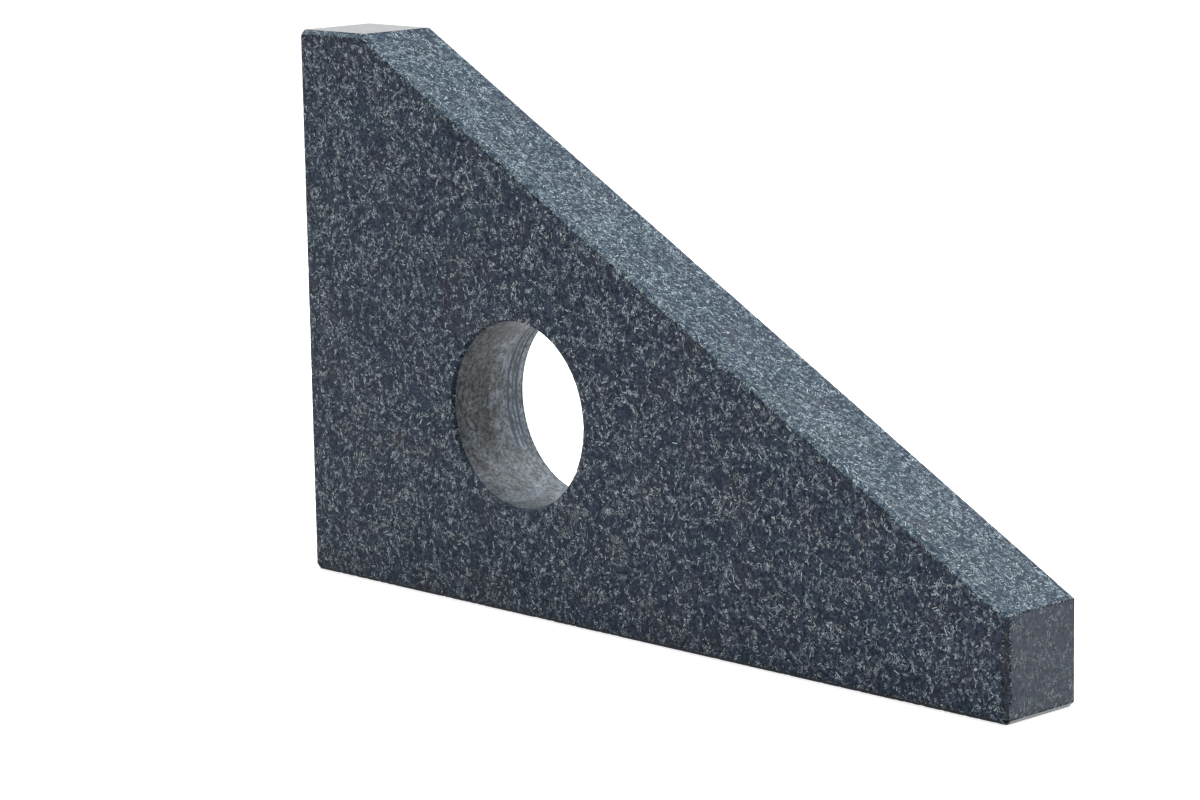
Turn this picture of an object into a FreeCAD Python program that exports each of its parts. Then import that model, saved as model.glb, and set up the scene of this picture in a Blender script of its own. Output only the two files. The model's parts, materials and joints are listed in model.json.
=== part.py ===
import FreeCAD, Part
import os

# Granite angle plate: one solid piece of black granite. It is a right-angled triangle with its two
# sharp corners cut blunt, all its edges chamfered, and a round hole through it to lift it by, which
# widens a little at both mouths.
# Frame, in millimetres: +X runs along the base from the upright face to the toe, +Y through the
# thickness and +Z up. The origin is the middle of the base, on the surface that the plate stands on.

# Driving dimensions
base_length = 250.0  # from the upright face to the toe face
upright_height = 150.0  # from the base to the flat on top of the upright
thickness = 26.0  # between the two lapped side faces
top_land = 26.0  # flat on top of the upright, along X
toe_height = 26.5  # flat end face of the toe, along Z
corner_chamfer = 1.3  # across the three square corners, through the thickness
edge_chamfer = 1.3  # round both side faces
hole_diameter = 49.4
hole_from_upright = 84.0  # hole's axis to the upright face
hole_from_base = 53.5  # hole's axis to the base
mouth_depth = 1.1  # the cone that opens each mouth of the hole: its length along the hole
mouth_width = 0.4  # how much wider its radius is at the side face

# Places worked out from them
upright_x = -base_length / 2
toe_x = base_length / 2
front_y = -thickness / 2
back_y = thickness / 2
near = 1e-6


def point(x, z, y=front_y):
    return FreeCAD.Vector(x, y, z)


def outline_corners():
    """Corners of the side face, before any chamfer, anticlockwise from the square corner."""
    return [
        point(upright_x, 0),
        point(toe_x, 0),
        point(toe_x, toe_height),
        point(upright_x + top_land, upright_height),
        point(upright_x, upright_height),
    ]


def blank():
    corners = outline_corners()
    wire = Part.makePolygon(corners + corners[:1])
    return Part.Face(wire).extrude(FreeCAD.Vector(0, thickness, 0))


def edges_through(shape, x, z):
    """Edges that run through the thickness at one corner of the outline."""
    return [
        edge
        for edge in shape.Edges
        if all(abs(v.X - x) < near and abs(v.Z - z) < near for v in edge.Vertexes)
    ]


def on_side_face(edge):
    box = edge.BoundBox
    return box.YLength < near and (abs(box.YMin - front_y) < near or abs(box.YMax - back_y) < near)


def chamfer_square_corners(plate):
    square_corners = [(upright_x, 0), (toe_x, 0), (upright_x, upright_height)]
    edges = []
    for x, z in square_corners:
        edges += edges_through(plate, x, z)
    return plate.makeChamfer(corner_chamfer, edges)


def chamfer_side_faces(plate):
    return plate.makeChamfer(edge_chamfer, [edge for edge in plate.Edges if on_side_face(edge)])


def mouth_cone(axis_start, direction):
    """The stone to take out of one mouth of the hole, from its side face inwards."""
    radius = hole_diameter / 2
    return Part.makeCone(radius + mouth_width, radius, mouth_depth, axis_start, direction)


def bore_hole(plate):
    along = FreeCAD.Vector(0, 1, 0)
    front = point(upright_x + hole_from_upright, hole_from_base, front_y)
    back = point(upright_x + hole_from_upright, hole_from_base, back_y)
    plate = plate.cut(Part.makeCylinder(hole_diameter / 2, thickness, front, along))
    plate = plate.cut(mouth_cone(front, along))
    return plate.cut(mouth_cone(back, -along))


def angle_plate():
    plate = chamfer_square_corners(blank())
    plate = chamfer_side_faces(plate)
    return bore_hole(plate)


os.makedirs("parts", exist_ok=True)
shape = angle_plate()
solid = shape.Solids[0]
solid.exportStep("parts/angle_plate.step")
size = solid.BoundBox
print("angle_plate: %.1f x %.1f x %.1f mm, %.1f cm3" % (size.XLength, size.YLength, size.ZLength, solid.Volume / 1000))
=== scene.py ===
import json
import math

import bmesh
import bpy
from mathutils import Matrix, Vector, noise


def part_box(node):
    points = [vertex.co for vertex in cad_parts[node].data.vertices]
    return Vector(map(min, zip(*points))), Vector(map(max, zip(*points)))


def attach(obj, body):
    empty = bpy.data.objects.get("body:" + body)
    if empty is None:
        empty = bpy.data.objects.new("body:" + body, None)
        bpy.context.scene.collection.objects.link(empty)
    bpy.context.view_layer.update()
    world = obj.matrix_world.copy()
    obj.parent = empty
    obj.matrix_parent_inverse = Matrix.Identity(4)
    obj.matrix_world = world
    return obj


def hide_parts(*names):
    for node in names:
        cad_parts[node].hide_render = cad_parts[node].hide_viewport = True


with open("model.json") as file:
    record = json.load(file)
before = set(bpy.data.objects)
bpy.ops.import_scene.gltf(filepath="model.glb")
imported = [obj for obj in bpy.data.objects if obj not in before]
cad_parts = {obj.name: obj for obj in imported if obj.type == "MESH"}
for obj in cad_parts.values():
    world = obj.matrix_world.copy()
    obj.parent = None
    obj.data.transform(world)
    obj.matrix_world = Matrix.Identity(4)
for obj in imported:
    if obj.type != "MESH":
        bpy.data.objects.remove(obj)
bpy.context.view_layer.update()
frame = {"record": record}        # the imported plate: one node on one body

low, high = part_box("angle_plate")
liftingHole = next(m for m in frame["record"]["mounts"] if m["name"] == "lifting_hole")
holeAxis = Vector(liftingHole["pos_m"])  # a point on the hole's axis, which runs along Y
holeRadius = liftingHole["dims"]["r_mm"] / 1000
mouthDepth = (high.y - low.y - liftingHole["dims"]["length_mm"] / 1000) / 2  # each mouth's cone
print("frame loaded")


# small helpers

def deselectAll():
    if bpy.context.object and bpy.context.object.mode != "OBJECT":
        bpy.ops.object.mode_set(mode="OBJECT")
    bpy.ops.object.select_all(action="DESELECT")


def workOn(piece):
    deselectAll()
    piece.select_set(True)
    bpy.context.view_layer.objects.active = piece


def applyPlace(piece):
    workOn(piece)
    bpy.ops.object.transform_apply(location=True, rotation=True, scale=True)


def applyModifier(piece, kind, **settings):
    workOn(piece)
    modifier = piece.modifiers.new(kind.lower(), kind)
    for name, value in settings.items():
        setattr(modifier, name, value)
    bpy.ops.object.modifier_apply(modifier=modifier.name)


def pickEdges(piece, wanted):
    # edit mode, with only the wanted edges selected
    bpy.ops.mesh.select_all(action="DESELECT")
    bpy.ops.mesh.select_mode(type="EDGE")
    mesh = bmesh.from_edit_mesh(piece.data)
    count = 0
    for edge in mesh.edges:
        if wanted(edge):
            edge.select = True
            count += 1
    mesh.select_flush_mode()
    bmesh.update_edit_mesh(piece.data)
    return count


# the plate

plateShape = {
    "topLand": 0.026,  # flat on top of the upright
    "toeHeight": 0.0265,  # flat end face of the toe
    "cornerChamfer": 0.0013,  # across the three square corners
    "edgeChamfer": 0.0013,  # round both side faces
    "arrisWidth": 0.00028,  # strip each side of a sharp edge
    "arrisRows": 4,
    "arrisPiece": 0.00042,  # longest piece along such a strip
    "chipDepth": 0.00026,  # into the stone
    "chipSpread": 0.00060,  # across the faces beside the edge
    "chipSize": 0.0014,
    "fineChip": 0.45,  # size of the finest chips, times that
    "chippedRun": 0.016,  # how far apart the more broken stretches of an edge are
    "lappedSpread": 1.5,  # times as far across the side faces
    "calmCorner": 0.005,  # smaller chips this near to a corner
    "seedShift": 3.7,
    "holeSteps": 512,
    "mouthChips": 0.5,  # chips at the hole's front mouth, and at its back one
    "backChips": 0.2,
    "mouthWidth": 0.0004,  # how much wider the hole's radius is at the side faces
}

# rings the core drill left in the hole: place from the back side face, width, depth
drillRings = [
    (0.0030, 0.0008, 0.00016),
    (0.0044, 0.0006, 0.00010),
    (0.0061, 0.0009, 0.00014),
]


touching = 1e-5  # metres: nearer than this counts as the same place


def sawnBlank():
    # a block the size of the plate, cut along the slope
    size = high - low
    bpy.ops.mesh.primitive_cube_add(size=1, location=(low + high) / 2)
    blank = bpy.context.object
    blank.name = "stonePlate"
    blank.scale = size
    applyPlace(blank)
    top = Vector((low.x + plateShape["topLand"], 0, high.z))
    toe = Vector((high.x, 0, low.z + plateShape["toeHeight"]))
    along = toe - top
    bpy.ops.object.mode_set(mode="EDIT")
    bpy.ops.mesh.select_all(action="SELECT")
    bpy.ops.mesh.bisect(plane_co=top, plane_no=(-along.z, 0, along.x), use_fill=True, clear_outer=True)
    bpy.ops.object.mode_set(mode="OBJECT")
    return blank


def chamferBlank(blank):
    squareCorners = [(low.x, low.z), (high.x, low.z), (low.x, high.z)]

    def atSquareCorner(edge):
        ends = [v.co for v in edge.verts]
        return any(all(math.hypot(p.x - x, p.z - z) < touching for p in ends) for x, z in squareCorners)

    def onSideFace(edge):
        ends = [v.co.y for v in edge.verts]
        return any(all(abs(y - side) < touching for y in ends) for side in (low.y, high.y))

    workOn(blank)
    bpy.ops.object.mode_set(mode="EDIT")
    pickEdges(blank, atSquareCorner)
    bpy.ops.mesh.bevel(offset=plateShape["cornerChamfer"], segments=1, affect="EDGES")
    pickEdges(blank, onSideFace)
    bpy.ops.mesh.bevel(offset=plateShape["edgeChamfer"], segments=1, affect="EDGES")
    bpy.ops.object.mode_set(mode="OBJECT")


def axisDistance(point):
    return math.hypot(point.x - holeAxis.x, point.z - holeAxis.z)


def awayFromHole(part):
    return all(axisDistance(vert.co) > holeRadius + 0.004 for vert in part.verts)


def softenArrises(piece):
    # every sharp edge outside gets a narrow strip of fine faces, close to the sharp shape
    sharp = math.radians(20)
    narrow = plateShape["arrisWidth"]
    workOn(piece)
    bpy.ops.object.mode_set(mode="EDIT")
    pickEdges(piece, lambda edge: edge.calc_face_angle(0) > sharp and awayFromHole(edge))
    bpy.ops.mesh.bevel(offset=narrow, segments=plateShape["arrisRows"], profile=0.75, affect="EDGES")
    mesh = bmesh.from_edit_mesh(piece.data)
    strip = mesh.faces.layers.int.new("strip")
    for face in mesh.faces:
        face[strip] = int(awayFromHole(face) and min(edge.calc_length() for edge in face.edges) < narrow)
    bmesh.update_edit_mesh(piece.data)
    longest = plateShape["arrisPiece"]
    for halving in range(12):
        strip = bmesh.from_edit_mesh(piece.data).faces.layers.int["strip"]
        found = pickEdges(
            piece, lambda edge: edge.calc_length() > longest and any(f[strip] for f in edge.link_faces))
        if not found:
            break
        bpy.ops.mesh.subdivide(number_cuts=1)
    strip = bmesh.from_edit_mesh(piece.data).faces.layers.int["strip"]

    def acrossFlat(edge):
        # the halving also cut up the flats beside the strips: each is made one face again
        sides = edge.link_faces
        level = len(sides) == 2 and edge.calc_face_angle(1) < 0.001
        return (level and not any(f[strip] for f in sides)
                and abs(sides[0].normal.y) < 0.999 and awayFromHole(edge))

    pickEdges(piece, acrossFlat)
    bpy.ops.mesh.dissolve_edges(use_verts=True)
    bpy.ops.object.mode_set(mode="OBJECT")


def cornerCalm(place):
    # 0 at a corner of the outline, 1 from a few millimetres away
    top = low.x + plateShape["topLand"]
    toe = low.z + plateShape["toeHeight"]
    corners = [(low.x, low.z), (high.x, low.z), (high.x, toe), (top, high.z), (low.x, high.z)]
    nearest = min(math.hypot(place.x - x, place.z - z) for x, z in corners)
    return min(1.0, nearest / plateShape["calmCorner"])


def chipNoise(place):
    # 0 for sound stone, 1 for the deepest chip
    shift = Vector((plateShape["seedShift"],) * 3)
    grain = noise.noise(place / plateShape["chipSize"] + shift)
    fine = noise.noise(place / (plateShape["chipSize"] * plateShape["fineChip"]) + shift * 2)
    stretch = noise.noise(place / plateShape["chippedRun"] + shift * 3)
    amount = (grain + 0.4 * fine + 0.3 * stretch - 0.1) / 0.55
    return min(1.0, max(0.0, amount)) + 0.1 * abs(fine)


def slopeEdgeNormal(normal):
    # does a face with this normal lie along the slope's edge with a side face
    return normal.z > 0.45 and normal.x > 0.12 and abs(normal.y) < 0.76


def chipShare(place, normal):
    # the sawn slope's edges broke less, and so did the lower and the back ones
    share = cornerCalm(place)
    if slopeEdgeNormal(normal):
        share *= 0.4
    if normal.z < -0.1:
        share *= 0.45
    if place.y > 0:
        share *= 0.6
    return share


def chipArrises(piece):
    # grains broken out of the edges
    mesh = bmesh.new()
    mesh.from_mesh(piece.data)
    mesh.normal_update()
    strip = mesh.faces.layers.int["strip"]
    moves = []
    for vert in mesh.verts:
        chipped = chipShare(vert.co, vert.normal) * chipNoise(vert.co)
        stripFaces = [face for face in vert.link_faces if face[strip]]
        others = [face for face in vert.link_faces if not face[strip]]
        if not stripFaces or len(others) > 1:
            continue
        if others:
            flat = others[0].normal
            lean = sum((face.normal for face in stripFaces), Vector())
            inward = flat * lean.dot(flat) - lean
            if inward.length > 1e-6:
                spread = plateShape["chipSpread"] * (plateShape["lappedSpread"] if abs(flat.y) > 0.999 else 1)
                moves.append((vert, inward.normalized() * spread * chipped))
        else:
            moves.append((vert, vert.normal * -plateShape["chipDepth"] * chipped))
    for vert, move in moves:
        vert.co += move
    for vert in mesh.verts:
        vert.co = [min(max(value, a), b) for value, a, b in zip(vert.co, low, high)]
    mesh.to_mesh(piece.data)
    mesh.free()


def drillProfile():
    # rows (place along the hole, radius, chips) from in front of the plate to behind it
    # the mouth starts outside the stone, rolls over a worn edge and runs in along its cone
    wide = plateShape["mouthWidth"]
    mouth = [(-0.0012, wide + 0.0016, 0), (-0.00008, wide + 0.00030, 1), (0.00003, wide + 0.00012, 1),
             (0.00014, wide, 1), (mouthDepth * 0.35, wide * 0.68, 0.6), (mouthDepth * 0.65, wide * 0.36, 0.3),
             (mouthDepth, 0.0, 0.1)]
    front, back = plateShape["mouthChips"], plateShape["backChips"]
    rows = [(low.y + y, holeRadius + r, chips * front) for y, r, chips in mouth]
    for depth, width, groove in reversed(drillRings):
        middle = high.y - depth
        rows += [(middle - width / 2, holeRadius, 0), (middle, holeRadius + groove, 0),
                 (middle + width / 2, holeRadius, 0)]
    rows += [(high.y - y, holeRadius + r, chips * back) for y, r, chips in reversed(mouth)]
    return rows


def ringWear(place, outward):
    # the rings fade towards the bottom of the hole, and unevenly round it
    uneven = noise.noise(place / 0.007)
    return min(0.95, max(0.0, 0.35 - 0.6 * outward.z + 0.7 * uneven))


def drillHole(blank):
    # the shape of the hole, a disc drawn out along Y row by row, is taken out of the blank
    rows = drillProfile()
    steps = plateShape["holeSteps"]
    place, radius, _ = rows[0]
    deselectAll()
    bpy.ops.mesh.primitive_circle_add(
        vertices=steps, radius=radius, fill_type="NGON",
        location=(holeAxis.x, place, holeAxis.z), rotation=(math.pi / 2, 0, 0))
    core = bpy.context.object
    core.name = "drillCore"
    applyPlace(core)
    bpy.ops.object.mode_set(mode="EDIT")
    bpy.ops.mesh.select_all(action="SELECT")
    for nextPlace, nextRadius, _ in rows[1:]:
        bpy.ops.mesh.extrude_region_move(TRANSFORM_OT_translate={"value": (0, nextPlace - place, 0)})
        factor = nextRadius / radius
        bpy.ops.transform.resize(
            value=(factor, 1, factor), center_override=(holeAxis.x, nextPlace, holeAxis.z))
        place, radius = nextPlace, nextRadius
    bpy.ops.mesh.select_all(action="SELECT")
    bpy.ops.mesh.normals_make_consistent(inside=False)
    bpy.ops.object.mode_set(mode="OBJECT")
    chipsAt = {round(place, 7): chips for place, radius, chips in rows}
    grooveAt = {round(place, 7): radius - holeRadius for place, radius, chips in rows if not chips}
    for vert in core.data.vertices:
        key = round(vert.co.y, 7)
        chips = chipsAt.get(key, 0)
        outward = Vector((vert.co.x - holeAxis.x, 0, vert.co.z - holeAxis.z)).normalized()
        if chips:
            vert.co += outward * chips * plateShape["chipSpread"] * 0.7 * chipNoise(vert.co)
        elif 0 < grooveAt.get(key, 0) < 0.001:
            vert.co -= outward * grooveAt[key] * ringWear(vert.co, outward)
    applyModifier(blank, "BOOLEAN", object=core, operation="DIFFERENCE", solver="EXACT")
    bpy.data.objects.remove(core)


def shadePlate(piece):
    workOn(piece)
    bpy.ops.object.shade_smooth_by_angle(angle=math.radians(40))
    for face in piece.data.polygons:
        inHole = axisDistance(face.center) < holeRadius + 0.003 and face.area < 1e-5
        if face.area > 1e-6 and not inHole:
            face.use_smooth = False


def makePlate():
    blank = sawnBlank()
    chamferBlank(blank)
    drillHole(blank)
    softenArrises(blank)
    chipArrises(blank)
    shadePlate(blank)
    return blank


stonePlate = makePlate()
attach(stonePlate, "root")
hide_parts("angle_plate")
stonePlate.data.calc_loop_triangles()
print("plate modelled", len(stonePlate.data.polygons), "faces,",
      len(stonePlate.data.loop_triangles), "triangles")


# stone: node groups and materials

def addNode(tree, kind, x, y, **settings):
    node = tree.nodes.new(kind)
    node.location = (x, y)
    for name, value in settings.items():
        setattr(node, name, value)
    return node


def newGroup(name, inputs, outputs):
    group = bpy.data.node_groups.new(name, "ShaderNodeTree")
    for label, kind, value in inputs:
        socket = group.interface.new_socket(name=label, in_out="INPUT", socket_type=kind)
        if value is not None:
            socket.default_value = value
    for label, kind in outputs:
        group.interface.new_socket(name=label, in_out="OUTPUT", socket_type=kind)
    start = addNode(group, "NodeGroupInput", -1200, 0)
    end = addNode(group, "NodeGroupOutput", 1200, 0)
    return group, start, end


def useGroup(tree, group, x, y, **values):
    node = addNode(tree, "ShaderNodeGroup", x, y)
    node.node_tree = group
    for name, value in values.items():
        node.inputs[name].default_value = value
    return node


def math2(tree, operation, x, y, a, b, clamp=False):
    node = addNode(tree, "ShaderNodeMath", x, y, operation=operation, use_clamp=clamp)
    for socket, value in zip(node.inputs, (a, b)):
        if isinstance(value, (int, float)):
            socket.default_value = value
        else:
            tree.links.new(value, socket)
    return node.outputs[0]


def remap(tree, x, y, value, fromLow, fromHigh, toLow=0.0, toHigh=1.0, smooth=False):
    node = addNode(tree, "ShaderNodeMapRange", x, y)
    node.interpolation_type = "SMOOTHSTEP" if smooth else "LINEAR"
    tree.links.new(value, node.inputs["Value"])
    limits = {"From Min": fromLow, "From Max": fromHigh, "To Min": toLow, "To Max": toHigh}
    for name, number in limits.items():
        if isinstance(number, (int, float)):
            node.inputs[name].default_value = number
        else:
            tree.links.new(number, node.inputs[name])
    return node.outputs["Result"]


def mixColour(tree, x, y, factor, first, second, blend="MIX"):
    node = addNode(tree, "ShaderNodeMix", x, y, data_type="RGBA", blend_type=blend)
    for name, value in (("Factor_Float", factor), ("A_Color", first), ("B_Color", second)):
        socket = next(s for s in node.inputs if s.identifier == name)
        if isinstance(value, (int, float)):
            socket.default_value = value
        elif isinstance(value, tuple):
            socket.default_value = (*value, 1)
        else:
            tree.links.new(value, socket)
    return next(s for s in node.outputs if s.identifier == "Result_Color")


def noiseAt(tree, place, x, y, size, detail, distortion=0.0):
    texture = addNode(tree, "ShaderNodeTexNoise", x, y, noise_dimensions="3D")
    texture.inputs["Scale"].default_value = 1 / size
    texture.inputs["Detail"].default_value = detail
    texture.inputs["Distortion"].default_value = distortion
    tree.links.new(place, texture.inputs["Vector"])
    return texture.outputs["Fac"]


stoneLook = {
    # colours
    "darkMatrix": (0.000, 0.0015, 0.0100),
    "paleMatrix": (0.033, 0.049, 0.081),
    "brownMatrix": (0.033, 0.025, 0.037),
    "tealMatrix": (0.010, 0.034, 0.044),
    "brownShare": 0.45,  # at most, in the clouds of that tint
    "tealShare": 0.32,
    "greyFleck": (0.178, 0.220, 0.260),
    "paleFleck": (0.58, 0.665, 0.69),
    "greenFleck": (0.23, 0.27, 0.20),
    "greenOften": 0.06,  # share of the crystals that are greenish
    "rimShade": 0.55,  # how much darker the stone is beside a fleck
    # sizes, in metres
    "tintSize": 0.012,
    "patchSize": 0.011,  # how far apart the crowded places are
    "speckSize": 0.00070,  # the finest mottle
    "chainSize": 0.0044,  # the flecks gather in chains this far apart
    "threadSize": 0.0011,
    "breakSize": 0.0016,  # how far apart the threads break
    "wormSize": 0.00085,  # the ragged grey grains
    "toneSize": 0.0021,  # how far apart grains and threads change from grey to pale
    # shares of a noise's range
    "chainWidth": 0.10,
    "threadCore": 0.012,
    "threadWidth": 0.045,
    "wormCut": 0.55,  # lower for more of them
    "wormEdge": 0.10,
    # the crystals, each in a cell of the stone
    "lathBreadth": 0.62,  # times the length
    "lathEdge": 0.75,  # from here outwards a crystal fades
    "rimReach": 2.6,  # times as far out as the crystal
    "flatFrom": 0.55,  # 1 is a crystal that lies flat in the surface
    "flatTo": 0.85,
    "flatShare": 0.2,  # how strongly such a one still shows
    "laths": [
        # cell, length, width, shift, strength
        (0.0017, 0.52, 0.074, 0.0, 1.0),
        (0.0021, 0.50, 0.060, 17.3, 1.0),
        (0.0012, 0.46, 0.098, 41.9, 0.9),
        (0.0014, 0.52, 0.086, 77.7, 1.0),
    ],
}


def lathGroup():
    # one thin crystal in each cell of the stone, lying any way: a cut through it shows as a fleck
    group, start, end = newGroup(
        "graniteLaths",
        [("Position", "NodeSocketVector", None), ("Normal", "NodeSocketVector", None),
         ("Cell", "NodeSocketFloat", 0.002), ("Length", "NodeSocketFloat", 0.7),
         ("Width", "NodeSocketFloat", 0.2), ("Shift", "NodeSocketFloat", 0.0),
         ("Crowding", "NodeSocketFloat", 0.5)],
        [("Fleck", "NodeSocketFloat"), ("Rim", "NodeSocketFloat"), ("Tone", "NodeSocketFloat")])
    links = group.links
    scaled = addNode(group, "ShaderNodeVectorMath", -1000, 0, operation="DIVIDE")
    links.new(start.outputs["Position"], scaled.inputs[0])
    links.new(start.outputs["Cell"], scaled.inputs[1])
    moved = addNode(group, "ShaderNodeVectorMath", -820, 0, operation="ADD")
    links.new(scaled.outputs[0], moved.inputs[0])
    links.new(start.outputs["Shift"], moved.inputs[1])
    cells = addNode(group, "ShaderNodeTexVoronoi", -640, 0, voronoi_dimensions="3D", feature="F1")
    cells.inputs["Scale"].default_value = 1
    cells.inputs["Randomness"].default_value = 1
    links.new(moved.outputs[0], cells.inputs["Vector"])
    local = addNode(group, "ShaderNodeVectorMath", -440, 100, operation="SUBTRACT")
    links.new(moved.outputs[0], local.inputs[0])
    links.new(cells.outputs["Position"], local.inputs[1])
    axis = addNode(group, "ShaderNodeVectorMath", -440, -100, operation="SUBTRACT")
    links.new(cells.outputs["Color"], axis.inputs[0])
    axis.inputs[1].default_value = (0.5, 0.5, 0.5)
    parts = addNode(group, "ShaderNodeSeparateXYZ", -440, -300)
    links.new(cells.outputs["Color"], parts.inputs[0])
    angle = math2(group, "MULTIPLY", -260, -300, parts.outputs["X"], 6 * math.pi)

    def turnedWithCrystal(vector, y):
        turn = addNode(group, "ShaderNodeVectorRotate", -80, y, rotation_type="AXIS_ANGLE")
        links.new(vector, turn.inputs["Vector"])
        links.new(axis.outputs[0], turn.inputs["Axis"])
        links.new(angle, turn.inputs["Angle"])
        return turn.outputs[0]

    breadth = math2(group, "MULTIPLY", -80, -260, start.outputs["Length"], stoneLook["lathBreadth"])
    sides = addNode(group, "ShaderNodeCombineXYZ", 100, -200)
    links.new(start.outputs["Length"], sides.inputs["X"])
    links.new(start.outputs["Width"], sides.inputs["Y"])
    links.new(breadth, sides.inputs["Z"])
    reach = addNode(group, "ShaderNodeVectorMath", 280, 0, operation="DIVIDE")
    links.new(turnedWithCrystal(local.outputs[0], 0), reach.inputs[0])
    links.new(sides.outputs[0], reach.inputs[1])
    absolute = addNode(group, "ShaderNodeVectorMath", 400, 0, operation="ABSOLUTE")
    links.new(reach.outputs[0], absolute.inputs[0])
    along = addNode(group, "ShaderNodeSeparateXYZ", 440, -200)
    links.new(absolute.outputs[0], along.inputs[0])
    size = math2(group, "MAXIMUM", 480, 0, along.outputs["X"], along.outputs["Y"])
    size = math2(group, "MAXIMUM", 560, 0, size, along.outputs["Z"])
    shape = remap(group, 640, 0, size, stoneLook["lathEdge"], 1.0, 1.0, 0.0, smooth=True)
    kept = math2(group, "LESS_THAN", 640, -240, parts.outputs["Y"], start.outputs["Crowding"])
    # a crystal that lies flat in the surface is faint, so that none shows as a pale spot
    facing = addNode(group, "ShaderNodeSeparateXYZ", 100, -500)
    links.new(turnedWithCrystal(start.outputs["Normal"], -500), facing.inputs[0])
    flatness = math2(group, "ABSOLUTE", 280, -500, facing.outputs["Y"], 0)
    shown = remap(group, 460, -500, flatness, stoneLook["flatFrom"], stoneLook["flatTo"],
                  1.0, stoneLook["flatShare"])
    kept = math2(group, "MULTIPLY", 760, -240, kept, shown)
    fleck = math2(group, "MULTIPLY", 860, 0, shape, kept)
    links.new(fleck, end.inputs["Fleck"])
    around = remap(group, 640, 300, size, 1.0, stoneLook["rimReach"], 1.0, 0.0, smooth=True)
    links.new(math2(group, "MULTIPLY", 860, 300, around, kept), end.inputs["Rim"])
    links.new(parts.outputs["Z"], end.inputs["Tone"])
    return group


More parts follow.
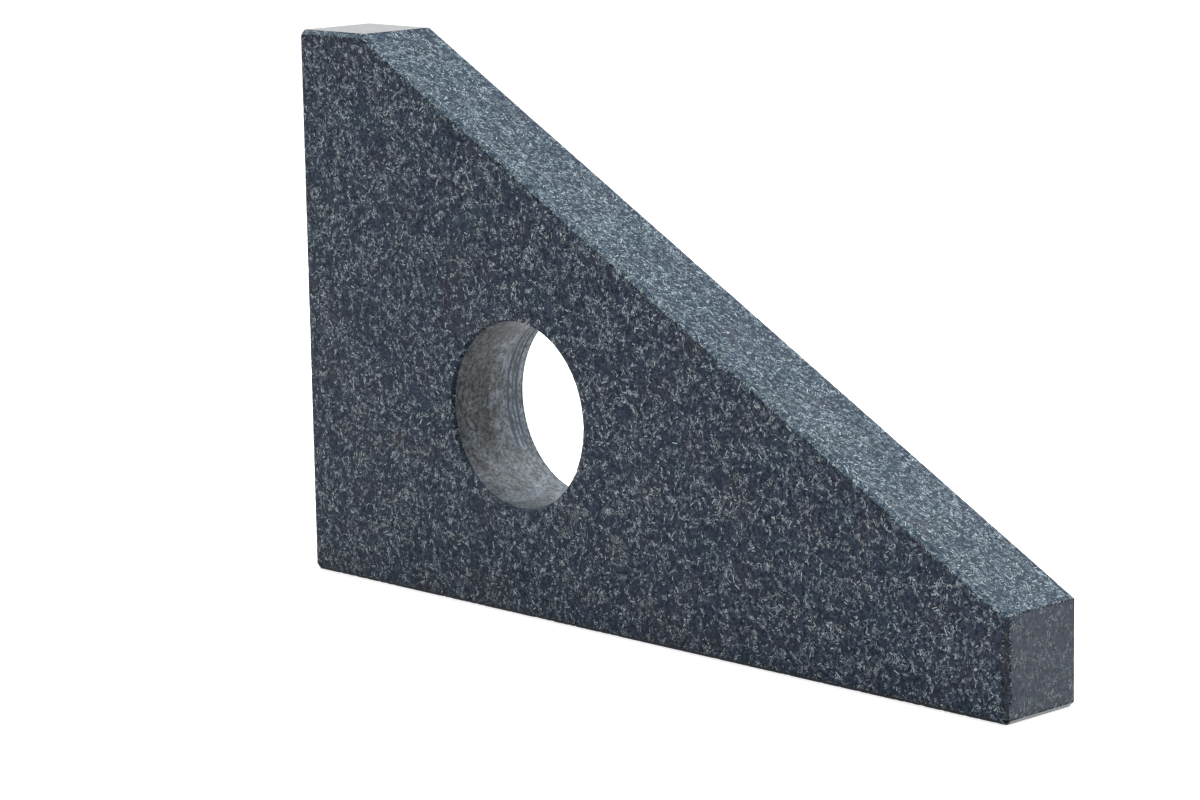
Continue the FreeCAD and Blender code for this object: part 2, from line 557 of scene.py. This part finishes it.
def stoneGroup(laths):
    group, start, end = newGroup(
        "graniteStone",
        [("Position", "NodeSocketVector", None), ("Normal", "NodeSocketVector", None),
         ("Contrast", "NodeSocketFloat", 1.0), ("Crowd", "NodeSocketFloat", 0.0),
         ("Haze", "NodeSocketFloat", 0.0), ("Haze Color", "NodeSocketColor", (0.1, 0.13, 0.17, 1))],
        [("Color", "NodeSocketColor"), ("Fleck", "NodeSocketFloat"), ("Grain", "NodeSocketFloat")])
    links = group.links
    place = start.outputs["Position"]
    look = stoneLook

    def cloud(size, x, y, detail, distortion=0.0):
        return noiseAt(group, place, x, y, look[size], detail, distortion)

    def offMiddle(value, y):
        # how far a noise is from its middle value: 0 along crooked lines
        return math2(group, "ABSOLUTE", -900, y, math2(group, "SUBTRACT", -1040, y, value, 0.5), 0)

    patches = cloud("patchSize", -1200, 400, 2, 0.4)
    patches = math2(group, "ADD", -1000, 400, patches, start.outputs["Crowd"])

    # a fine dark mottle, brownish in some places and teal in others
    speck = cloud("speckSize", -1000, 900, 2)
    tint = cloud("tintSize", -1000, 700, 1)
    matrix = mixColour(group, -600, 900, remap(group, -820, 900, speck, 0.35, 0.65),
                       look["darkMatrix"], look["paleMatrix"])
    brownish = remap(group, -820, 700, tint, 0.5, 0.72, 0.0, look["brownShare"])
    matrix = mixColour(group, -400, 700, brownish, matrix, look["brownMatrix"])
    teal = remap(group, -820, 600, tint, 0.47, 0.28, 0.0, look["tealShare"])
    matrix = mixColour(group, -300, 600, teal, matrix, look["tealMatrix"])

    # ragged grey grains, crowded in patches
    worms = cloud("wormSize", -1000, 1200, 2.5, 0.9)
    cut = remap(group, -820, 1300, patches, 0.3, 0.7, look["wormCut"] + 0.075, look["wormCut"] - 0.045)
    cutEnd = math2(group, "ADD", -640, 1300, cut, look["wormEdge"])
    wormMask = remap(group, -460, 1200, worms, cut, cutEnd, smooth=True)
    tone = cloud("toneSize", -1000, 1500, 1)
    wormTone = remap(group, -460, 1500, tone, 0.35, 0.65, 0.05, 0.36)
    wormShare = math2(group, "MULTIPLY", -260, 1200, wormMask, wormTone)
    wormShare = math2(group, "MULTIPLY", -80, 1200, wormShare, start.outputs["Contrast"], clamp=True)
    colour = mixColour(group, 100, 1000, wormShare, matrix, look["greyFleck"])
    total = wormShare

    # the pale grains gather in crooked chains
    offChain = offMiddle(cloud("chainSize", -1200, 0, 2.5, 0.7), 0)
    onChain = remap(group, -760, 0, offChain, 0.0, look["chainWidth"], smooth=True)
    onChain = math2(group, "SUBTRACT", -600, 0, 1.0, onChain)
    # a crowded finish has them between its chains too
    between = remap(group, -600, 200, start.outputs["Crowd"], 0.0, 0.20, 0.0, 0.75)
    onChain = math2(group, "MAXIMUM", -480, 100, onChain, between)

    # crooked threads, thickest in the chains and broken here and there
    offStrand = offMiddle(cloud("threadSize", -1200, 1800, 1.5, 1.4), 1800)
    thread = remap(group, -460, 1800, offStrand, look["threadCore"], look["threadWidth"],
                   1.0, 0.0, smooth=True)
    inChain = remap(group, -460, 2000, onChain, 0.1, 0.8, 0.06, 1.0)
    unbroken = remap(group, -260, 2000, cloud("breakSize", -1000, 2100, 1), 0.43, 0.55, 0.0, 1.4)
    threadShare = math2(group, "MULTIPLY", -260, 1800, thread, inChain)
    threadShare = math2(group, "MULTIPLY", -80, 1800, threadShare, unbroken)
    threadShare = math2(group, "MULTIPLY", 60, 1800, threadShare, start.outputs["Contrast"], clamp=True)
    threadHue = mixColour(group, 60, 2100, remap(group, -100, 2100, tone, 0.36, 0.62, 0.0, 0.85),
                          look["greyFleck"], look["paleFleck"])
    colour = mixColour(group, 200, 1000, threadShare, colour, threadHue)
    total = math2(group, "MAXIMUM", 200, 1300, total, threadShare)

    # the crystals, layer by layer, most often in the chains and in crowded patches
    often = remap(group, -820, 400, patches, 0.36, 0.62, 0.32, 1.12)
    inChain = remap(group, -700, 100, onChain, 0.0, 1.0, 0.08, 0.88)
    crowding = math2(group, "MULTIPLY", -700, 300, often, inChain)
    y = 300
    for cell, length, width, shift, strength in look["laths"]:
        layer = useGroup(group, laths, -600, y, Cell=cell, Length=length, Width=width, Shift=shift)
        links.new(place, layer.inputs["Position"])
        links.new(start.outputs["Normal"], layer.inputs["Normal"])
        links.new(crowding, layer.inputs["Crowding"])
        tone = layer.outputs["Tone"]
        hue = mixColour(group, -400, y, remap(group, -500, y - 100, tone, 0.35, 0.95),
                        look["greyFleck"], look["paleFleck"])
        hue = mixColour(group, -200, y, math2(group, "LESS_THAN", -300, y - 100, tone, look["greenOften"]),
                        hue, look["greenFleck"])
        shaded = math2(group, "MULTIPLY", -200, y + 120, layer.outputs["Rim"], look["rimShade"])
        colour = mixColour(group, 200, y + 120, shaded, colour, look["darkMatrix"])
        share = math2(group, "MULTIPLY", -200, y - 160, layer.outputs["Fleck"], strength)
        share = math2(group, "MULTIPLY", 100, y - 160, share, start.outputs["Contrast"], clamp=True)
        colour = mixColour(group, 300, y, share, colour, hue)
        total = math2(group, "MAXIMUM", 500, y, total, share)
        y -= 400
    # the haze: a wash of one colour over the stone, which on some finishes is painted light or painted shade
    withHazeAndPaintedLight = mixColour(group, 800, 0, start.outputs["Haze"], colour, start.outputs["Haze Color"])
    links.new(withHazeAndPaintedLight, end.inputs["Color"])
    links.new(total, end.inputs["Fleck"])
    links.new(speck, end.inputs["Grain"])
    return group


boreLook = {
    # sizes and places, in metres
    "streakSize": 0.0013,
    "streakSquash": 0.6,  # under 1 the streaks run further round the hole
    "streakMiddle": 0.48,
    "cloudSize": 0.005,
    "pitSize": 0.0009,
    "litTowardsBack": (-0.004, 0.010),  # painted light, paler and bluish, from here to here along the hole
    "lowDown": (-0.003, -0.020),  # and from here to here below its axis
    "lowShare": 0.75,
    # how much darker or paler they make the wall
    "streakShade": (0.34, 0.58, 0.56, 1.20),
    "cloudShade": (0.3, 0.7, 0.72, 1.28),
    "pitShade": (0.0, 1.0, 1.17, 0.50),
}


def boreGroup():
    # marks of the core drill: streaks that run round the hole, pits, and painted light where the wall turns
    # paler and bluish
    group, start, end = newGroup(
        "boreMarks",
        [("Position", "NodeSocketVector", None)],
        [("Streak", "NodeSocketFloat"), ("Cloud", "NodeSocketFloat"), ("Painted Light", "NodeSocketFloat"),
         ("Pits", "NodeSocketFloat")])
    links = group.links
    parts = addNode(group, "ShaderNodeSeparateXYZ", -1000, 0)
    links.new(start.outputs["Position"], parts.inputs[0])
    across = math2(group, "SUBTRACT", -820, 100, parts.outputs["X"], holeAxis.x)
    above = math2(group, "SUBTRACT", -820, -100, parts.outputs["Z"], holeAxis.z)
    angle = math2(group, "ARCTAN2", -640, 0, above, across)
    around = math2(group, "MULTIPLY", -460, 0, angle, holeRadius * boreLook["streakSquash"])
    flat = addNode(group, "ShaderNodeCombineXYZ", -280, 0)
    links.new(around, flat.inputs["X"])
    links.new(parts.outputs["Y"], flat.inputs["Y"])
    streaks = noiseAt(group, flat.outputs[0], -100, 100, boreLook["streakSize"], 1.5)
    clouds = noiseAt(group, start.outputs["Position"], -100, -200, boreLook["cloudSize"], 3)
    pits = noiseAt(group, start.outputs["Position"], -100, -800, boreLook["pitSize"], 1)
    links.new(remap(group, 100, -800, pits, 0.36, 0.54, 1.0, 0.0, smooth=True), end.inputs["Pits"])
    # painted light: paler and bluish towards the back opening and low down in the hole, where light reaches
    # the wall; clouds make its edge uneven
    litTowardsBack = remap(group, 100, -400, parts.outputs["Y"], *boreLook["litTowardsBack"])
    lowDown = remap(group, 100, -600, above, *boreLook["lowDown"], 0.0, boreLook["lowShare"])
    either = math2(group, "MAXIMUM", 300, -500, litTowardsBack, lowDown)
    uneven = remap(group, 100, -200, clouds, 0.3, 0.7, -0.35, 0.35)
    shaken = math2(group, "ADD", 460, -400, either, uneven)
    # the streaks fade low down in the hole
    swing = math2(group, "SUBTRACT", 100, 300, streaks, boreLook["streakMiddle"])
    swing = math2(group, "MULTIPLY", 260, 300, swing, math2(group, "SUBTRACT", 260, 100, 1.0, lowDown))
    links.new(math2(group, "ADD", 420, 300, swing, boreLook["streakMiddle"]), end.inputs["Streak"])
    links.new(clouds, end.inputs["Cloud"])
    links.new(remap(group, 640, -400, shaken, 0.1, 0.9), end.inputs["Painted Light"])
    return group


finishes = {
    # strength and crowding of the flecks, share and colour of the haze over them (on some finishes painted
    # light or painted shade), roughness of the stone and of a fleck, bump and gloss; in the hole a second
    # haze colour is painted light, paler and bluish where light reaches the wall
    "lappedGranite": {
        "contrast": 1.0, "crowd": 0.0, "hazeAndPaintedLight": 0.0, "hazeAndPaintedLightColour": (0.10, 0.13, 0.17),
        "roughness": (0.42, 0.50), "bump": 0.12, "ior": 1.19},
    # the sawn slope's ground finish, with a painted bluish reflection in its haze and tint
    "groundGraniteWithSheen": {
        "contrast": 1.5, "crowd": 0.08, "hazeAndPaintedLight": 0.06, "hazeAndPaintedLightColour": (0.00, 0.10, 0.20),
        "roughness": (0.36, 0.44), "bump": 0.25, "ior": 1.19, "tint": (0.90, 0.98, 1.01)},
    "toeGranite": {
        "contrast": 0.52, "crowd": -0.02, "hazeAndPaintedLight": 0.2, "hazeAndPaintedLightColour": (0.050, 0.055, 0.075),
        "roughness": (0.40, 0.48), "bump": 0.2, "ior": 1.31},
    "topGranite": {
        "contrast": 0.6, "crowd": 0.0, "hazeAndPaintedLight": 0.3, "hazeAndPaintedLightColour": (0.08, 0.098, 0.09),
        "roughness": (0.26, 0.30), "bump": 0.04, "ior": 1.45, "coat": 0.40},
    # painted light: the chamfers along the upper edges made paler and bluish, as lit from above
    "litUpperChamfer": {
        "contrast": 2.4, "crowd": 0.14, "hazeAndPaintedLight": 0.16, "hazeAndPaintedLightColour": (0.10, 0.22, 0.30),
        "roughness": (0.46, 0.54), "bump": 0.4, "ior": 1.30},
    "plainChamfer": {
        "contrast": 0.5, "crowd": 0.0, "hazeAndPaintedLight": 0.5, "hazeAndPaintedLightColour": (0.018, 0.015, 0.013),
        "roughness": (0.50, 0.58), "bump": 0.4, "ior": 1.25},
    # painted shade: the chamfers that face down made almost black, as in shade
    "shadedLowerChamfer": {
        "contrast": 0.25, "crowd": -0.1, "hazeAndPaintedLight": 0.8, "hazeAndPaintedLightColour": (0.002, 0.003, 0.010),
        "roughness": (0.50, 0.58), "bump": 0.4, "ior": 1.12},
    # chipped stone, with painted shade: the small faces of the broken edges darkened as if shaded in the
    # chips
    "brokenShadedGranite": {
        "contrast": 1.3, "crowd": 0.1, "hazeAndPaintedLight": 0.35, "hazeAndPaintedLightColour": (0.006, 0.006, 0.005),
        "roughness": (0.70, 0.75), "bump": 0.5, "ior": 1.2},
    # painted shade: the mouths darkened where they lie in shadow, with paler, bluish painted light towards
    # the back and low down
    "mouthGranite": {
        "contrast": 1.0, "crowd": 0.0, "hazeAndPaintedLight": 0.3, "hazeAndPaintedLightColour": (0.002, 0.004, 0.006),
        "deepHaze": (0.11, 0.14, 0.17), "roughness": (0.60, 0.65), "bump": 0.5, "ior": 1.20},
    "ringGranite": {
        "contrast": 0.5, "crowd": 0.0, "hazeAndPaintedLight": 0.55, "hazeAndPaintedLightColour": (0.11, 0.135, 0.17),
        "roughness": (0.50, 0.55), "bump": 0.3, "ior": 1.30},
    # a pale ground wall; its second haze colour is painted light, paler and bluish towards the back opening
    # and low down
    "boredGranite": {
        "contrast": 0.45, "crowd": 0.0, "hazeAndPaintedLight": 0.5, "hazeAndPaintedLightColour": (0.170, 0.175, 0.168),
        "deepHaze": (0.300, 0.340, 0.382), "roughness": (0.50, 0.55), "bump": 0.3, "ior": 1.35},
}
bumpDistance = 0.0001
coatRoughness = 0.12


def makeFinish(name, stone, bore):
    look = finishes[name]
    material = bpy.data.materials.new(name)
    material.use_nodes = True
    tree = material.node_tree
    tree.nodes.clear()
    shader = addNode(tree, "ShaderNodeBsdfPrincipled", 900, 0)
    output = addNode(tree, "ShaderNodeOutputMaterial", 1200, 0)
    tree.links.new(shader.outputs["BSDF"], output.inputs["Surface"])
    coordinates = addNode(tree, "ShaderNodeTexCoord", -1000, 0)
    place = coordinates.outputs["Object"]
    granite = useGroup(
        tree, stone, -400, 0, Contrast=look["contrast"], Crowd=look["crowd"], Haze=look["hazeAndPaintedLight"])
    granite.inputs["Haze Color"].default_value = (*look["hazeAndPaintedLightColour"], 1)
    tree.links.new(place, granite.inputs["Position"])
    tree.links.new(coordinates.outputs["Normal"], granite.inputs["Normal"])
    colour = granite.outputs["Color"]
    height = granite.outputs["Grain"]
    # painted reflection: the slope's colour multiplied bluer
    if "tint" in look:
        colour = mixColour(tree, 400, 200, 1.0, colour, look["tint"], blend="MULTIPLY")
    # painted light in the hole: the haze goes from its own colour to a paler, bluish one where light reaches
    # the wall
    if "deepHaze" in look:
        marks = useGroup(tree, bore, -800, 300)
        tree.links.new(place, marks.inputs["Position"])
        hazeAndPaintedLight = mixColour(tree, -600, 300, marks.outputs["Painted Light"], look["hazeAndPaintedLightColour"], look["deepHaze"])
        tree.links.new(hazeAndPaintedLight, granite.inputs["Haze Color"])
    if name == "boredGranite":
        streak = remap(tree, 0, 300, marks.outputs["Streak"], *boreLook["streakShade"], smooth=True)
        cloud = remap(tree, 0, 500, marks.outputs["Cloud"], *boreLook["cloudShade"])
        shade = math2(tree, "MULTIPLY", 200, 400, streak, cloud)
        pitted = remap(tree, 0, 700, marks.outputs["Pits"], *boreLook["pitShade"])
        shade = math2(tree, "MULTIPLY", 300, 500, shade, pitted)
        colour = mixColour(tree, 400, 200, 1.0, colour, shade, blend="MULTIPLY")
        height = math2(tree, "ADD", 200, -500, height, marks.outputs["Streak"])
    tree.links.new(colour, shader.inputs["Base Color"])
    roughness = remap(tree, 400, -200, granite.outputs["Fleck"], 0, 1, *look["roughness"])
    tree.links.new(roughness, shader.inputs["Roughness"])
    bump = addNode(tree, "ShaderNodeBump", 500, -400)
    bump.inputs["Strength"].default_value = look["bump"]
    bump.inputs["Distance"].default_value = bumpDistance
    tree.links.new(height, bump.inputs["Height"])
    tree.links.new(bump.outputs["Normal"], shader.inputs["Normal"])
    shader.inputs["IOR"].default_value = look["ior"]
    shader.inputs["Coat Weight"].default_value = look.get("coat", 0.0)
    shader.inputs["Coat Roughness"].default_value = coatRoughness
    return material


def finishOf(face):
    # the finish for this face, by its place and normal: the tool's finish, and on some faces painted light or
    # painted shade
    fromAxis = axisDistance(face.center)
    inside = abs(face.center.y) < high.y - 1e-5
    # in the hole: painted shade in its mouths, and painted light where its wall turns paler and bluish
    if fromAxis < holeRadius + 0.0009 and abs(face.normal.y) < 0.93 and inside:
        if abs(face.center.y) > high.y - mouthDepth:
            return "mouthGranite"
        return "ringGranite" if fromAxis > holeRadius + 0.00002 else "boredGranite"
    if abs(face.normal.y) > 0.999 and face.area > 1e-5:
        return "lappedGranite"
    bySideFace = abs(face.center.y) > high.y - plateShape["edgeChamfer"] - 0.001
    slopeEdge = bySideFace and slopeEdgeNormal(face.normal)
    # the small faces of chipped edges: painted shade, darker, except along the slope's edge, which gets
    # painted light
    if face.area < 2e-7:
        return "litUpperChamfer" if slopeEdge else "brokenShadedGranite"
    if abs(face.normal.y) > 0.3:
        # chamfers facing up get painted light, those facing down painted shade
        if face.normal.z > 0.3:
            return "litUpperChamfer"
        return "shadedLowerChamfer" if face.normal.z < -0.3 else "plainChamfer"
    if face.normal.z > 0.999 or (face.normal.z < -0.3 and face.normal.x > 0.3):
        return "topGranite"
    if face.normal.x > 0.999:
        return "toeGranite"
    return "groundGraniteWithSheen"


def finishPlate(piece):
    stone = stoneGroup(lathGroup())
    bore = boreGroup()
    piece.data.materials.clear()
    for name in finishes:
        piece.data.materials.append(makeFinish(name, stone, bore))
    slots = {name: index for index, name in enumerate(finishes)}
    counts = dict.fromkeys(finishes, 0)
    for face in piece.data.polygons:
        name = finishOf(face)
        face.material_index = slots[name]
        counts[name] += 1
    print("finishes", counts)


finishPlate(stonePlate)
print("granite made")


# floor, light and camera

studio = {
    "floorSize": 14,
    "floorWhite": 0.85,
    "floorGlow": 0.68,  # what the camera sees on top of the lit floor
    "worldForLight": 0.45,
    "overhead": {"place": (0.25, 0.5, 1.3), "size": 1.2, "power": 22},
    "side": {"place": (1.2, 0.3, 0.6), "size": 0.8, "power": 1.2},
    "front": {"place": (-0.6, -1.4, 0.9), "size": 1.0, "power": 6},
    "lampAim": (0, 0, 0.06),
}


def seenAsWhite(tree, x, y):
    # 1 for rays that show the background: the camera's, mirrored and let through
    path = addNode(tree, "ShaderNodeLightPath", x, y)
    camera, glossy = path.outputs["Is Camera Ray"], path.outputs["Is Glossy Ray"]
    mirrored = math2(tree, "MAXIMUM", x + 180, y, camera, glossy)
    return math2(tree, "MAXIMUM", x + 360, y, mirrored, path.outputs["Is Transmission Ray"])


def makeFloor():
    deselectAll()
    bpy.ops.mesh.primitive_plane_add(size=studio["floorSize"])
    floor = bpy.context.object
    floor.name = "studioFloor"
    material = bpy.data.materials.new("whitePaper")
    material.use_nodes = True
    tree = material.node_tree
    tree.nodes.clear()
    paper = addNode(tree, "ShaderNodeBsdfDiffuse", 0, 0)
    paper.inputs["Color"].default_value = (studio["floorWhite"],) * 3 + (1,)
    glow = addNode(tree, "ShaderNodeEmission", 0, -200)
    strength = math2(tree, "MULTIPLY", -200, -200, seenAsWhite(tree, -800, -200), studio["floorGlow"])
    tree.links.new(strength, glow.inputs["Strength"])
    both = addNode(tree, "ShaderNodeAddShader", 200, 0)
    output = addNode(tree, "ShaderNodeOutputMaterial", 400, 0)
    tree.links.new(paper.outputs[0], both.inputs[0])
    tree.links.new(glow.outputs[0], both.inputs[1])
    tree.links.new(both.outputs[0], output.inputs["Surface"])
    floor.data.materials.append(material)


def makeWorld():
    world = bpy.data.worlds.new("studioWorld")
    bpy.context.scene.world = world
    world.use_nodes = True
    tree = world.node_tree
    tree.nodes.clear()
    background = addNode(tree, "ShaderNodeBackground", 200, 0)
    strength = remap(tree, 0, 0, seenAsWhite(tree, -600, 0), 0, 1, studio["worldForLight"], 1.0)
    tree.links.new(strength, background.inputs["Strength"])
    background.inputs["Color"].default_value = (1, 1, 1, 1)
    output = addNode(tree, "ShaderNodeOutputWorld", 400, 0)
    tree.links.new(background.outputs[0], output.inputs["Surface"])


def addSoftbox(name):
    box = studio[name]
    deselectAll()
    bpy.ops.object.light_add(type="AREA", location=box["place"])
    lamp = bpy.context.object
    lamp.name = name + "Softbox"
    lamp.data.shape = "SQUARE"
    lamp.data.size = box["size"]
    lamp.data.energy = box["power"]
    aim = Vector(studio["lampAim"]) - Vector(box["place"])
    lamp.rotation_euler = aim.to_track_quat("-Z", "Y").to_euler()


photoCamera = {
    "aim": (-0.026775, 0.003791, 0.057075),  # the point in the middle of the picture
    "yaw": 45.98,  # to the right of the front face, degrees
    "pitch": 10.371,
    "roll": -0.997,
    "distance": 1.01048,
    "lens": 116.218,
}


def makeCamera():
    yaw, pitch, roll = (math.radians(photoCamera[name]) for name in ("yaw", "pitch", "roll"))
    back = Vector((math.sin(yaw) * math.cos(pitch), -math.cos(yaw) * math.cos(pitch), math.sin(pitch)))
    level = Vector((math.cos(yaw), math.sin(yaw), 0))
    upright = back.cross(level)
    right = math.cos(roll) * level + math.sin(roll) * upright
    up = math.cos(roll) * upright - math.sin(roll) * level
    camera = bpy.data.objects.new("photoCamera", bpy.data.cameras.new("photoCamera"))
    bpy.context.scene.collection.objects.link(camera)
    turn = Matrix((right, up, back)).transposed().to_4x4()
    stand = Vector(photoCamera["aim"]) + back * photoCamera["distance"]
    camera.matrix_world = Matrix.Translation(stand) @ turn
    camera.data.sensor_width = 36
    camera.data.lens = photoCamera["lens"]
    bpy.context.scene.camera = camera


makeFloor()
makeWorld()
for name in ("overhead", "side", "front"):
    addSoftbox(name)
makeCamera()
bpy.context.scene.view_settings.view_transform = "Standard"
print("floor, light and camera set")
